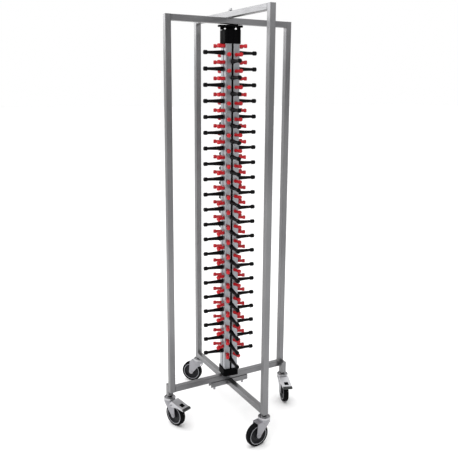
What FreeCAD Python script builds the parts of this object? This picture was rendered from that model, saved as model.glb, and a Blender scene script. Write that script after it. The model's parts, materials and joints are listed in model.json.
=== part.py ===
import FreeCAD, Part
import os
import Sketcher

# A plating cart: two welded tube frames that cross at right angles and fold about one upright axis,
# a turning column of plate holders between them, and four swivel casters.
# Z is up, the floor is z = 0, X runs along the inner frame and Y along the outer frame.
# The origin is the middle of the footprint, so the column axis stands a little in front of it.

document = FreeCAD.newDocument("plating_cart")
sheet = document.addObject("Spreadsheet::Sheet", "cart")

sizes = [
    ("axis_y", "-21.1 mm", "middle of the footprint to the column axis, along Y"),
    ("tube_side", "25 mm", "side of the square frame tube"),
    ("tube_wall", "1.5 mm", "wall of the frame tube"),
    ("tube_corner", "2.5 mm", "outside corner radius of the frame tube"),
    ("outer_height", "1650 mm", "height of the outer frame"),
    ("outer_half_width", "313.5 mm", "column axis to the middle of an outer upright"),
    ("inner_half_width", "283 mm", "column axis to the middle of an inner upright"),
    ("washer_thickness", "1 mm", "thrust washer between two turning pieces"),
    ("washer_radius", "12 mm", "outside radius of a thrust washer"),
    ("pivot_bolt_radius", "5 mm", "radius of both pivot bolts"),
    ("turning_gap", "0.3 mm", "gap between curved faces that turn on each other"),
    ("column_turn", "-8.5 deg", "how far the column stands turned from the frames"),
    ("rail_side", "27 mm", "side of a column rail"),
    ("rail_wall", "2 mm", "wall of a column rail"),
    ("rail_corner", "3 mm", "outside corner radius of a column rail"),
    ("column_half", "31 mm", "column axis to the outside face of a rail"),
    ("core_half_slot", "4 mm", "half the slot between two rails"),
    ("core_reach", "29 mm", "column axis to the face of a core rib"),
    ("base_side", "70 mm", "side of the column base"),
    ("base_height", "33 mm", "height of the column base"),
    ("base_corner", "6 mm", "corner radius of the column base and the cap sleeve"),
    ("base_bore_depth", "24 mm", "depth of the pivot bore in the base"),
    ("cap_side", "70 mm", "side of the cap sleeve"),
    ("cap_gap", "4 mm", "room between the cap and the bar over it"),
    ("cap_recess", "45 mm", "how far the rails stand in the cap"),
    ("cap_sleeve_height", "56 mm", "height of the cap sleeve"),
    ("cap_groove_half", "1.5 mm", "half the width of the grooves in the sleeve"),
    ("cap_groove_depth", "1.2 mm", "depth of the grooves in the sleeve"),
    ("cap_groove_step", "22 mm", "middle of a sleeve side to its outer grooves"),
    ("cap_fin_height", "12 mm", "height of the fins on the sleeve"),
    ("cap_fin_half", "3 mm", "half the thickness of a fin"),
    ("cap_fin_reach", "44 mm", "column axis to the end of a fin"),
    ("cap_hub_radius", "10 mm", "radius of the hub between the fins"),
    ("cap_lobe_height", "7 mm", "height of the lobes on the fins"),
    ("cap_lobe_half", "17 mm", "half the width of a lobe"),
    ("cap_lobe_reach", "53 mm", "column axis to the end of a lobe"),
    ("cap_lobe_corner", "12 mm", "rounding of the end of a lobe"),
    ("cap_hole_radius", "5 mm", "hole in each fin"),
    ("cap_hole_place", "24 mm", "column axis to the hole in a fin"),
    ("level_pitch", "66 mm", "height from one plate to the next"),
    ("lowest_arm_level", "295 mm", "height of the lowest arm of the left and right stacks"),
    ("stack_drop", "36 mm", "how much lower the front and back stacks stand"),
    ("peg_rise", "27 mm", "height of the pegs above their arm"),
    ("peg_side_step", "15.5 mm", "middle of the stack to the foot of a peg"),
    ("peg_splay", "20 deg", "angle of a peg away from the middle of its stack"),
    ("arm_tip", "119 mm", "column axis to the end of an arm"),
    ("arm_shank_radius", "3.6 mm", "radius of the arm inside the slot"),
    ("arm_root_radius", "9.8 mm", "radius of the arm at the rails"),
    ("arm_neck_radius", "5.6 mm", "radius of the arm behind its knob"),
    ("arm_knob_radius", "9.2 mm", "radius of the knob of an arm"),
    ("arm_root_length", "5 mm", "length of the thick root of an arm"),
    ("peg_length", "40 mm", "rail to the end of a peg, along the peg"),
    ("peg_foot", "6 mm", "thickness of the flat foot of a peg"),
    ("peg_bed", "0.5 mm", "foot left under the start of a peg"),
    ("peg_foot_radius", "7.6 mm", "radius of the flat foot of a peg"),
    ("peg_root_radius", "6.8 mm", "radius of a peg where it leaves its foot"),
    ("peg_neck_radius", "6.1 mm", "radius of a peg behind its knob"),
    ("peg_knob_radius", "8.5 mm", "radius of the knob of a peg"),
    ("wheel_radius", "50 mm", "radius of a caster wheel"),
    ("tyre_half_width", "12 mm", "half the width of a tyre"),
    ("tyre_inner_radius", "40 mm", "inside radius of a tyre"),
    ("tyre_shoulder", "5 mm", "rounding of the tyre tread"),
    ("hub_half_width", "15 mm", "half the width of a wheel hub"),
    ("hub_radius", "15 mm", "outside radius of a wheel hub"),
    ("web_half_width", "5 mm", "half the thickness of the wheel web"),
    ("rim_half_width", "10 mm", "half the width of the wheel rim"),
    ("rim_lip_half_width", "12.4 mm", "half the width of the wheel over its rim lips"),
    ("rim_lip", "2 mm", "thickness of a rim lip"),
    ("axle_radius", "5 mm", "radius of a wheel axle"),
    ("axle_fit", "0.05 mm", "running clearance of wheel on axle and pedal on rivet"),
    ("axle_head_radius", "6.5 mm", "radius of the axle heads"),
    ("axle_head_length", "2 mm", "length of an axle head"),
    ("caster_trail", "36 mm", "swivel axis to the wheel axle"),
    ("fork_half_gap", "16 mm", "half the room between the fork legs"),
    ("fork_sheet", "2.5 mm", "sheet thickness of the fork"),
    ("fork_clearance", "7 mm", "top of the wheel to the top of the fork crown"),
    ("fork_front_reach", "17 mm", "swivel axis to the front of the fork sides"),
    ("fork_front_drop", "7 mm", "height of the fork sides at their front"),
    ("fork_rear_reach", "43 mm", "swivel axis to the rear edge of the crown"),
    ("fork_rear_drop", "2 mm", "how much lower the rear edge of the crown stands"),
    ("hood_height", "23 mm", "height of the round front of the fork"),
    ("hood_low_radius", "18.5 mm", "radius of the round front at its lower edge"),
    ("hood_wall", "4 mm", "wall of the round front"),
    ("fork_eye_radius", "11 mm", "leg metal around the axle"),
    ("race_radius", "25 mm", "radius of the lower swivel race"),
    ("race_height", "6 mm", "height of the lower swivel race"),
    ("race_gap", "0.4 mm", "gap between the two swivel races"),
    ("king_pin_radius", "6 mm", "radius of the swivel pin"),
    ("king_head_radius", "9 mm", "radius of the riveted end of the swivel pin"),
    ("king_head_height", "2.6 mm", "height of the riveted end of the swivel pin"),
    ("cup_radius", "26 mm", "radius of the upper swivel race"),
    ("cup_height", "8 mm", "height of the upper race over its raised rim"),
    ("cup_rim", "3 mm", "thickness of the raised rim"),
    ("cup_recess", "4 mm", "depth of the upper race inside its rim"),
    ("boss_radius", "12 mm", "radius of the boss in the upper race"),
    ("boss_height", "9 mm", "height of that boss"),
    ("collar_radius", "9.5 mm", "radius of the plug collar on the boss"),
    ("collar_height", "6.6 mm", "height of the plug collar"),
    ("plug_flange", "1 mm", "thickness of the plug flange under a tube"),
    ("plug_length", "26 mm", "length of a plug inside its tube"),
    ("plug_slack", "0.1 mm", "slack of a plug in its tube on each side"),
    ("pedal_pivot_reach", "28 mm", "swivel axis to the pedal rivets"),
    ("pedal_pivot_drop", "10 mm", "fork crown down to the pedal rivets"),
    ("pedal_rivet_radius", "3.5 mm", "radius of a pedal rivet"),
    ("pedal_half_width", "21.5 mm", "half the width of a brake pedal"),
    ("pedal_half_room", "19 mm", "half the room inside a brake pedal"),
    ("pedal_start", "30 mm", "swivel axis to the upper end of a pedal"),
    ("pedal_tip", "106 mm", "swivel axis to the end of a pedal"),
    ("pedal_rise", "10 mm", "fork crown up to the upper end of a pedal"),
    ("pedal_sheet", "3 mm", "sheet thickness of a pedal"),
    ("pedal_tip_drop", "18 mm", "how much lower the pedal tip stands"),
    ("pedal_skirt", "7 mm", "height of the pedal sides at the tip"),
    ("shoe_near", "52 mm", "swivel axis to the near end of the brake shoe"),
    ("shoe_far", "62 mm", "swivel axis to the far end of the brake shoe"),
    ("shoe_half_width", "9 mm", "half the width of the brake shoe"),
    ("shoe_gap", "1 mm", "top of the wheel to the brake shoe"),
    ("slot_near", "72 mm", "swivel axis to the near end of the pedal slot"),
    ("slot_far", "86 mm", "swivel axis to the far end of the pedal slot"),
    ("slot_half_width", "10 mm", "half the width of the pedal slot"),
    ("heading_near", "184 deg", "way the near caster trails"),
    ("heading_far", "134 deg", "way the far caster trails"),
    ("heading_left", "291 deg", "way the left caster trails"),
    ("heading_right", "251 deg", "way the right caster trails"),
    ("support_height", "22 mm", "height of the cross support channel"),
    ("support_sheet", "2.5 mm", "sheet thickness of the cross support"),
    ("support_drop", "1 mm", "how far the support stands under the top of its bar"),
    ("support_reach", "95 mm", "column axis to the end of a cross support"),
    ("lock_radius", "3 mm", "radius of a lock screw"),
    ("lock_head_radius", "5 mm", "radius of a lock screw head"),
    ("lock_head_height", "5 mm", "height of a lock screw head"),
    ("lock_length", "26 mm", "length of a lock screw"),
    ("lock_end_step", "22 mm", "end of a support to its lock screw"),
    ("bolt_head_radius", "9 mm", "radius of the bottom pivot bolt head"),
    ("bolt_head_height", "7 mm", "height of the bottom pivot bolt head"),
    ("nut_radius", "8 mm", "radius of the dome nut"),
    ("nut_straight", "8 mm", "height of the straight part of the dome nut"),
    ("nut_dome", "7 mm", "height of the dome"),
    ("nut_thread", "9 mm", "length of bolt inside the dome nut"),
    # Sizes that follow from the ones above
    ("fork_crown_top", "2 * wheel_radius + fork_clearance", "height of the fork crown"),
    ("fork_ceiling", "fork_crown_top - fork_sheet - 0.5 mm", "underside of the fork crown"),
    ("race_top", "fork_crown_top + race_height", "top of the lower swivel race"),
    ("cup_bottom", "race_top + race_gap", "underside of the upper swivel race"),
    ("cup_top", "cup_bottom + cup_height", "top of the raised rim"),
    ("boss_top", "cup_bottom + boss_height", "top of the boss in the upper race"),
    ("caster_height", "boss_top + collar_height + plug_flange", "floor to the end of a frame tube"),
    ("pedal_pivot_height", "fork_crown_top - pedal_pivot_drop", "height of the pedal rivets"),
    ("pedal_top", "fork_crown_top + pedal_rise", "height of the upper end of a pedal"),
    ("pedal_tip_top", "pedal_top - pedal_tip_drop", "height of the pedal tip"),
    ("peg_axis_step", "peg_side_step - column_half * tan(peg_splay)", "middle of the column to the line of a peg"),
    ("peg_start", "(column_half + peg_bed + peg_root_radius * sin(peg_splay)) / cos(peg_splay)", "start of a peg in its foot"),
    ("peg_end", "column_half / cos(peg_splay) + peg_length", "end of a peg, along the peg"),
    ("shoe_bottom", "2 * wheel_radius + shoe_gap", "height of the brake shoe"),
    ("outer_top", "caster_height + outer_height", "top of the outer frame"),
    ("inner_bottom", "caster_height + tube_side + washer_thickness", "underside of the inner frame"),
    ("inner_top", "outer_top - tube_side - washer_thickness", "top of the inner frame"),
    ("base_bottom", "inner_bottom + tube_side + washer_thickness", "underside of the column base"),
    ("rail_bottom", "base_bottom + base_height", "lower end of the rails"),
    ("cap_top", "inner_top - tube_side - cap_gap", "top of the cap"),
    ("fin_top", "cap_top - cap_lobe_height", "top of the fins"),
    ("sleeve_top", "fin_top - cap_fin_height", "top of the cap sleeve"),
    ("cap_bottom", "sleeve_top - cap_sleeve_height", "height of the lower edge of the cap"),
    ("level_count", "floor((cap_bottom - peg_foot_radius - peg_rise - lowest_arm_level) / level_pitch) + 1",
     "plates in one stack, as many as the column has room for"),
    ("rail_top", "cap_bottom + cap_recess", "upper end of the rails"),
    ("rail_middle", "column_half - rail_side / 2", "column axis to the middle of a rail"),
    ("bar_hole_radius", "pivot_bolt_radius + turning_gap", "hole that turns on a pivot bolt"),
    ("plug_bottom", "boss_top", "underside of the plug collar"),
]
for row, (alias, value, meaning) in enumerate(sizes, start=1):
    sheet.set("A%d" % row, meaning)
    sheet.set("B%d" % row, "=" + value)
    sheet.setAlias("B%d" % row, alias)
document.recompute()

bodies = []


def value_of(words):
    """The present value of a sheet expression, in millimetres."""
    result = sheet.evalExpression(words)
    return float(getattr(result, "Value", result))


def new_body(label):
    body = document.addObject("PartDesign::Body", label)
    body.Label = label
    bodies.append(body)
    return body


def new_sketch(body, plane, offset=None):
    """An empty sketch on one of the body's own planes, moved along the plane's normal by offset."""
    sketch = body.newObject("Sketcher::SketchObject", body.Name + "_sketch")
    support = [feature for feature in body.Origin.OriginFeatures if feature.Role == plane]
    sketch.AttachmentSupport = [(support[0], "")]
    sketch.MapMode = "FlatFace"
    if offset:
        sketch.setExpression("AttachmentOffset.Base.z", offset)
    return sketch


def lean(sketch, way, angle):
    """Turn a sketch about its own upright axis, by an angle from the sheet."""
    sketch.AttachmentOffset.Rotation = FreeCAD.Rotation(FreeCAD.Vector(0, way, 0), value_of(angle))
    sketch.setExpression("AttachmentOffset.Rotation.Angle", angle)


def bind_distance(sketch, kind, geometry, point, words):
    """Hold one coordinate of a sketch point to a sheet expression."""
    if words == "0":
        axis = -2 if kind == "DistanceX" else -1
        sketch.addConstraint(Sketcher.Constraint("PointOnObject", geometry, point, axis))
        return
    constraint = Sketcher.Constraint(kind, -1, 1, geometry, point, value_of(words))
    number = sketch.addConstraint(constraint)
    name = "%s_%d" % (kind, geometry)
    sketch.renameConstraint(number, name)
    sketch.setExpression("Constraints." + name, words)


def outline(sketch, corners):
    """A closed outline of straight lines, every corner bound to the sheet."""
    points = [FreeCAD.Vector(value_of(across), value_of(up), 0) for across, up in corners]
    first = sketch.GeometryCount
    count = len(corners)
    for index in range(count):
        sketch.addGeometry(Part.LineSegment(points[index], points[(index + 1) % count]))
    for index in range(count):
        following = first + (index + 1) % count
        sketch.addConstraint(Sketcher.Constraint("Coincident", first + index, 2, following, 1))
    for index, (across, up) in enumerate(corners):
        bind_distance(sketch, "DistanceX", first + index, 1, across)
        bind_distance(sketch, "DistanceY", first + index, 1, up)


def turned_outline(sketch, corners, tip, knob_radius, neck_radius):
    """Half of a turned pin: straight lines, then a round knob that ends on the axis at tip."""
    points = [FreeCAD.Vector(value_of(across), value_of(up), 0) for across, up in corners]
    knob = value_of(knob_radius)
    neck = value_of(neck_radius)
    centre = FreeCAD.Vector(value_of(tip) - knob, 0, 0)
    end = FreeCAD.Vector(value_of(tip), 0, 0)
    neck_back = (knob ** 2 - neck ** 2) ** 0.5
    points.append(centre + FreeCAD.Vector(-neck_back, neck, 0))
    count = len(corners)
    for index in range(count):
        sketch.addGeometry(Part.LineSegment(points[index], points[index + 1]))
    neck_angle = FreeCAD.Vector(1, 0, 0).getAngle(points[count] - centre)
    round_end = Part.ArcOfCircle(Part.Circle(centre, FreeCAD.Vector(0, 0, 1), knob), 0, neck_angle)
    arc = sketch.addGeometry(round_end)
    axis_line = sketch.addGeometry(Part.LineSegment(end, points[0]))
    for index in range(count - 1):
        sketch.addConstraint(Sketcher.Constraint("Coincident", index, 2, index + 1, 1))
    sketch.addConstraint(Sketcher.Constraint("Coincident", count - 1, 2, arc, 2))
    sketch.addConstraint(Sketcher.Constraint("Coincident", arc, 1, axis_line, 1))
    sketch.addConstraint(Sketcher.Constraint("Coincident", axis_line, 2, 0, 1))
    sketch.addConstraint(Sketcher.Constraint("PointOnObject", arc, 1, -1))
    for index, (across, up) in enumerate(corners):
        bind_distance(sketch, "DistanceX", index, 1, across)
        bind_distance(sketch, "DistanceY", index, 1, up)
    bind_distance(sketch, "DistanceX", arc, 3, "%s - %s" % (tip, knob_radius))
    bind_distance(sketch, "DistanceY", arc, 3, "0")
    radius_number = sketch.addConstraint(Sketcher.Constraint("Radius", arc, knob))
    sketch.renameConstraint(radius_number, "knob_radius")
    sketch.setExpression("Constraints.knob_radius", knob_radius)
    neck_number = sketch.addConstraint(Sketcher.Constraint("DistanceY", -1, 1, arc, 2, neck))
    sketch.renameConstraint(neck_number, "neck_radius")
    sketch.setExpression("Constraints.neck_radius", neck_radius)


def rectangle(sketch, low_across, high_across, low_up, high_up):
    outline(sketch, [
        (low_across, low_up),
        (high_across, low_up),
        (high_across, high_up),
        (low_across, high_up),
    ])


def square(sketch, half, centre="0"):
    """A square about a point that lies the same way along both sketch axes."""
    low = "-(%s)" % half if centre == "0" else "%s - (%s)" % (centre, half)
    high = half if centre == "0" else "%s + (%s)" % (centre, half)
    rectangle(sketch, low, high, low, high)


def circle(sketch, across, up, radius):
    middle = FreeCAD.Vector(value_of(across), value_of(up), 0)
    upright = FreeCAD.Vector(0, 0, 1)
    number = sketch.addGeometry(Part.Circle(middle, upright, value_of(radius)))
    bind_distance(sketch, "DistanceX", number, 3, across)
    bind_distance(sketch, "DistanceY", number, 3, up)
    constraint = sketch.addConstraint(Sketcher.Constraint("Radius", number, value_of(radius)))
    name = "radius_%d" % number
    sketch.renameConstraint(constraint, name)
    sketch.setExpression("Constraints." + name, radius)


def extrude(body, kind, sketch, length, both_ways=False, backwards=False):
    """A pad or a pocket of a sketch."""
    feature = body.newObject("PartDesign::" + kind, body.Name + "_" + kind.lower())
    feature.Profile = sketch
    feature.setExpression("Length", length)
    if both_ways:
        feature.SideType = "Symmetric"
    feature.Reversed = backwards
    return feature


def pad(body, sketch, length, both_ways=False):
    return extrude(body, "Pad", sketch, length, both_ways)


def pocket(body, sketch, length, both_ways=False, backwards=False):
    return extrude(body, "Pocket", sketch, length, both_ways, backwards)


def revolve(body, sketch, axis):
    feature = body.newObject("PartDesign::Revolution", body.Name + "_revolution")
    feature.Profile = sketch
    feature.ReferenceAxis = (sketch, [axis])
    feature.Angle = 360
    return feature


def round_long_edges(body, feature, radius, half, middle="0"):
    """Round the four outside edges of a square prism that stands along the body's Z."""
    document.recompute()
    side = value_of(half)
    place = value_of(middle)
    names = []
    for number, edge in enumerate(feature.Shape.Edges, start=1):
        start = edge.Vertexes[0].Point
        end = edge.Vertexes[-1].Point
        along = abs(start.x - end.x) < 1e-6 and abs(start.y - end.y) < 1e-6
        on_x = abs(abs(start.x - place) - side) < 1e-6
        on_y = abs(abs(start.y - place) - side) < 1e-6
        if along and on_x and on_y:
            names.append("Edge%d" % number)
    fillet = body.newObject("PartDesign::Fillet", body.Name + "_rounding")
    fillet.Base = (feature, names)
    fillet.setExpression("Radius", radius)
    return fillet


def round_edges(body, feature, radius, wanted):
    """Round every edge of a feature that the test named wanted picks."""
    document.recompute()
    names = ["Edge%d" % number for number, edge in enumerate(feature.Shape.Edges, start=1) if wanted(edge)]
    fillet = body.newObject("PartDesign::Fillet", body.Name + "_rounding")
    fillet.Base = (feature, names)
    fillet.setExpression("Radius", radius)
    return fillet


def place(body, x="0 mm", y="0 mm", z="0 mm", turn="0 deg"):
    """Stand a body at a place counted from the column axis, turned about the upright direction."""
    body.Placement.Rotation.Axis = FreeCAD.Vector(0, 0, 1)
    body.setExpression("Placement.Base.x", x)
    body.setExpression("Placement.Base.y", "cart.axis_y + (%s)" % y)
    body.setExpression("Placement.Base.z", z)
    if turn != "0 deg":
        body.setExpression("Placement.Rotation.Angle", turn)


def square_tube(label, length, side="cart.tube_side", wall="cart.tube_wall",
                corner="cart.tube_corner", middle="0", closed_start=False, closed_end=False):
    """A square tube along the body's Z, with welded plates in the ends that are closed."""
    body = new_body(label)
    half = side + " / 2"
    inner_half = "%s / 2 - %s" % (side, wall)
    section = new_sketch(body, "XY_Plane")
    square(section, half, middle)
    square(section, inner_half, middle)
    tube = pad(body, section, length)
    round_long_edges(body, tube, corner, half, middle)
    if closed_start:
        start_plate = new_sketch(body, "XY_Plane")
        square(start_plate, inner_half, middle)
        pad(body, start_plate, wall)
    if closed_end:
        end_plate = new_sketch(body, "XY_Plane", "%s - %s" % (length, wall))
        square(end_plate, inner_half, middle)
        pad(body, end_plate, wall)
    return body


def cross_bar(label, length, height, hole_radius, along_y):
    """A level bar through the column axis, with an upright pivot hole at its middle."""
    body = square_tube(label, length)
    hole = new_sketch(body, "YZ_Plane")
    circle(hole, "0", "(%s) / 2" % length, hole_radius)
    pocket(body, hole, "2 * cart.tube_side", both_ways=True)
    body.Placement.Rotation = FreeCAD.Rotation(90 if along_y else 0, 90, 0)
    half_back = "-(%s) / 2" % length
    body.setExpression("Placement.Base.x", "0 mm" if along_y else half_back)
    body.setExpression("Placement.Base.y", "cart.axis_y + (%s)" % (half_back if along_y else "0 mm"))
    body.setExpression("Placement.Base.z", height)
    return body


# Outer frame: two uprights down to their casters, and two bars between them
for label, y in (("outer_near_upright", "-cart.outer_half_width"), ("outer_far_upright", "cart.outer_half_width")):
    upright = square_tube(label, "cart.outer_height", closed_end=True)
    place(upright, y=y, z="cart.caster_height")
outer_bar_length = "2 * cart.outer_half_width - cart.tube_side"
outer_bars = [
    ("outer_bottom_bar", "cart.caster_height + cart.tube_side / 2"),
    ("outer_top_bar", "cart.outer_top - cart.tube_side / 2"),
]
for label, height in outer_bars:
    cross_bar(label, outer_bar_length, height, "cart.bar_hole_radius", along_y=True)

# Inner frame: it stands inside the outer one, on two stubs set one tube aside so that the bars can cross
inner_height = "cart.inner_top - cart.inner_bottom"
for label, x in (("inner_left_upright", "-cart.inner_half_width"), ("inner_right_upright", "cart.inner_half_width")):
    upright = square_tube(label, inner_height, closed_start=True, closed_end=True)
    place(upright, x=x, z="cart.inner_bottom")
inner_bar_length = "2 * cart.inner_half_width - cart.tube_side"
inner_bars = [
    ("inner_bottom_bar", "cart.inner_bottom + cart.tube_side / 2"),
    ("inner_top_bar", "cart.inner_top - cart.tube_side / 2"),
]
for label, height in inner_bars:
    cross_bar(label, inner_bar_length, height, "cart.pivot_bolt_radius", along_y=False)
stubs = [
    ("inner_left_stub", "-cart.inner_half_width", "cart.tube_side"),
    ("inner_right_stub", "cart.inner_half_width", "-cart.tube_side"),
]
for label, x, y in stubs:
    stub_length = "cart.inner_bottom + cart.tube_side - cart.caster_height"
    stub = square_tube(label, stub_length, closed_end=True)
    place(stub, x=x, y=y, z="cart.caster_height")

# Cross support: two channels on the sides of the outer bottom bar, with lock screws under them
support_top = "cart.caster_height + cart.tube_side - cart.support_drop"
half_tube = "cart.tube_side / 2"
supports = [
    ("cross_support_left", "-cart.support_reach"),
    ("cross_support_right", "cart.tube_side / 2"),
]
for label, start in supports:
    support = new_body(label)
    section = new_sketch(support, "YZ_Plane")
    inside = "%s - cart.support_sheet" % half_tube
    outline(section, [
        ("-(%s)" % half_tube, "-cart.support_height"),
        ("-(%s)" % inside, "-cart.support_height"),
        ("-(%s)" % inside, "-cart.support_sheet"),
        (inside, "-cart.support_sheet"),
        (inside, "-cart.support_height"),
        (half_tube, "-cart.support_height"),
        (half_tube, "0"),
        ("-(%s)" % half_tube, "0"),
    ])
    pad(support, section, "cart.support_reach - %s" % half_tube)
    place(support, x=start, z=support_top)
lock_screws = new_body("lock_screws")
lock_places = [
    "-cart.support_reach + cart.lock_end_step",
    "cart.support_reach - cart.lock_end_step",
]
shanks = new_sketch(lock_screws, "XY_Plane")
heads = new_sketch(lock_screws, "XY_Plane")
for across in lock_places:
    circle(shanks, across, "0", "cart.lock_radius")
    circle(heads, across, "0", "cart.lock_head_radius")
pad(lock_screws, shanks, "cart.lock_length")
pad(lock_screws, heads, "cart.lock_head_height")
place(lock_screws, z="%s - cart.support_sheet - cart.lock_length" % support_top)

# Pivot bolts, dome nut and thrust washers on the upright axis
top_bolt = new_body("top_pivot_bolt")
collar_bottom = "cart.cap_top + cart.turning_gap"
collar_top = "cart.inner_top - cart.tube_side"
top_bolt_end = "cart.outer_top + cart.washer_thickness + cart.nut_thread"
bolt_half = new_sketch(top_bolt, "XZ_Plane")
outline(bolt_half, [
    ("0", "cart.rail_top + cart.rail_wall + cart.rail_corner"),
    ("cart.pivot_bolt_radius", "cart.rail_top + cart.rail_wall + cart.rail_corner"),
    ("cart.pivot_bolt_radius", collar_bottom),
    ("cart.bolt_head_radius", collar_bottom),
    ("cart.bolt_head_radius", collar_top),
    ("cart.pivot_bolt_radius", collar_top),
    ("cart.pivot_bolt_radius", top_bolt_end),
    ("0", top_bolt_end),
])
revolve(top_bolt, bolt_half, "V_Axis")
place(top_bolt)

dome_nut = new_body("top_dome_nut")
nut_bottom = "cart.outer_top + cart.washer_thickness"
nut_shoulder = nut_bottom + " + cart.nut_straight"
nut_half = new_sketch(dome_nut, "XZ_Plane")
nut_outline = [
    ("0", top_bolt_end),
    ("cart.pivot_bolt_radius", top_bolt_end),
    ("cart.pivot_bolt_radius", nut_bottom),
    ("cart.nut_radius", nut_bottom),
]
for angle in (0, 30, 60):
    nut_outline.append((
        "cart.nut_radius * cos(%d deg)" % angle,
        "%s + cart.nut_dome * sin(%d deg)" % (nut_shoulder, angle),
    ))
nut_outline.append(("0", nut_shoulder + " + cart.nut_dome"))
outline(nut_half, nut_outline)
revolve(dome_nut, nut_half, "V_Axis")
place(dome_nut)

bottom_bolt = new_body("bottom_pivot_bolt")
head_top = "cart.caster_height - cart.turning_gap"
bottom_bolt_end = "cart.base_bottom + cart.base_bore_depth - cart.washer_thickness"
bolt_half = new_sketch(bottom_bolt, "XZ_Plane")
outline(bolt_half, [
    ("0", head_top + " - cart.bolt_head_height"),
    ("cart.bolt_head_radius", head_top + " - cart.bolt_head_height"),
    ("cart.bolt_head_radius", head_top),
    ("cart.pivot_bolt_radius", head_top),
    ("cart.pivot_bolt_radius", bottom_bolt_end),
    ("0", bottom_bolt_end),
])
revolve(bottom_bolt, bolt_half, "V_Axis")
place(bottom_bolt)

washers = new_body("pivot_washers")
washer_levels = [
    "cart.caster_height + cart.tube_side",
    "cart.inner_bottom + cart.tube_side",
    "cart.inner_top",
    "cart.outer_top",
]
for level in washer_levels:
    ring = new_sketch(washers, "XY_Plane", level)
    circle(ring, "0", "0", "cart.washer_radius")
    circle(ring, "0", "0", "cart.bar_hole_radius")
    pad(washers, ring, "cart.washer_thickness")
place(washers)

# Column: a base, a ribbed core, four rails and a cap that turn together
base = new_body("column_base")
base_square = new_sketch(base, "XY_Plane")
square(base_square, "cart.base_side / 2")
base_block = pad(base, base_square, "cart.base_height")
round_long_edges(base, base_block, "cart.base_corner", "cart.base_side / 2")
base_bore = new_sketch(base, "XY_Plane")
circle(base_bore, "0", "0", "cart.bar_hole_radius")
pocket(base, base_bore, "cart.base_bore_depth", backwards=True)
place(base, z="cart.base_bottom", turn="cart.column_turn")

core = new_body("column_core")
core_section = new_sketch(core, "XY_Plane")
slot_edge = "cart.core_half_slot"
rib_edge = "cart.core_reach"
outline(core_section, [
    (rib_edge, "-" + slot_edge),
    (rib_edge, slot_edge),
    (slot_edge, slot_edge),
    (slot_edge, rib_edge),
    ("-" + slot_edge, rib_edge),
    ("-" + slot_edge, slot_edge),
    ("-" + rib_edge, slot_edge),
    ("-" + rib_edge, "-" + slot_edge),
    ("-" + slot_edge, "-" + slot_edge),
    ("-" + slot_edge, "-" + rib_edge),
    (slot_edge, "-" + rib_edge),
    (slot_edge, "-" + slot_edge),
])
pad(core, core_section, "cart.rail_top - cart.rail_bottom")
place(core, z="cart.rail_bottom", turn="cart.column_turn")

rails = [("rail_back_right", 0), ("rail_back_left", 90), ("rail_front_left", 180), ("rail_front_right", 270)]
for label, quarter in rails:
    rail = square_tube(label, "cart.rail_top - cart.rail_bottom", "cart.rail_side", "cart.rail_wall",
                       "cart.rail_corner", "cart.rail_middle")
    place(rail, z="cart.rail_bottom", turn="cart.column_turn + %d deg" % quarter)

cap = new_body("top_cap")
sleeve_square = new_sketch(cap, "XY_Plane")
square(sleeve_square, "cart.cap_side / 2")
sleeve = pad(cap, sleeve_square, "cart.cap_sleeve_height")
round_long_edges(cap, sleeve, "cart.base_corner", "cart.cap_side / 2")
recess = new_sketch(cap, "XY_Plane")
square(recess, "cart.column_half")
pocket(cap, recess, "cart.cap_recess", backwards=True)
grooves = new_sketch(cap, "XY_Plane")
groove_floor = "cart.cap_side / 2 - cart.cap_groove_depth"
groove_open = "cart.cap_side / 2 + cart.cap_groove_depth"
for step in ("-cart.cap_groove_step", "0 mm", "cart.cap_groove_step"):
    low_side = "%s - cart.cap_groove_half" % step
    high_side = "%s + cart.cap_groove_half" % step
    rectangle(grooves, groove_floor, groove_open, low_side, high_side)
    rectangle(grooves, "-(%s)" % groove_open, "-(%s)" % groove_floor, low_side, high_side)
    rectangle(grooves, low_side, high_side, groove_floor, groove_open)
    rectangle(grooves, low_side, high_side, "-(%s)" % groove_open, "-(%s)" % groove_floor)
pocket(cap, grooves, "cart.cap_sleeve_height", backwards=True)


def cap_cross(half, reach, level, height):
    """Two crossing rectangles on the cap, one along each pair of stacks."""
    for along_y in (False, True):
        sketch = new_sketch(cap, "XY_Plane", level)
        if along_y:
            rectangle(sketch, "-" + half, half, "-" + reach, reach)
        else:
            rectangle(sketch, "-" + reach, reach, "-" + half, half)
        pad(cap, sketch, height)


cap_cross("cart.cap_fin_half", "cart.cap_fin_reach", "cart.cap_sleeve_height", "cart.cap_fin_height")
hub = new_sketch(cap, "XY_Plane", "cart.cap_sleeve_height")
circle(hub, "0", "0", "cart.cap_hub_radius")
pad(cap, hub, "cart.cap_fin_height")
lobe_level = "cart.cap_sleeve_height + cart.cap_fin_height"
cap_cross("cart.cap_lobe_half", "cart.cap_lobe_reach", lobe_level, "cart.cap_lobe_height")
lobe_centre = new_sketch(cap, "XY_Plane", lobe_level)
circle(lobe_centre, "0", "0", "cart.cap_side / 2")
lobes = pad(cap, lobe_centre, "cart.cap_lobe_height")


def lobe_corner(edge):
    """An upright edge at the outer end of a lobe."""
    start = edge.Vertexes[0].Point
    end = edge.Vertexes[-1].Point
    upright = abs(start.x - end.x) < 1e-6 and abs(start.y - end.y) < 1e-6
    reach = max(abs(start.x), abs(start.y))
    return upright and abs(reach - value_of("cart.cap_lobe_reach")) < 1e-6


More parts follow.
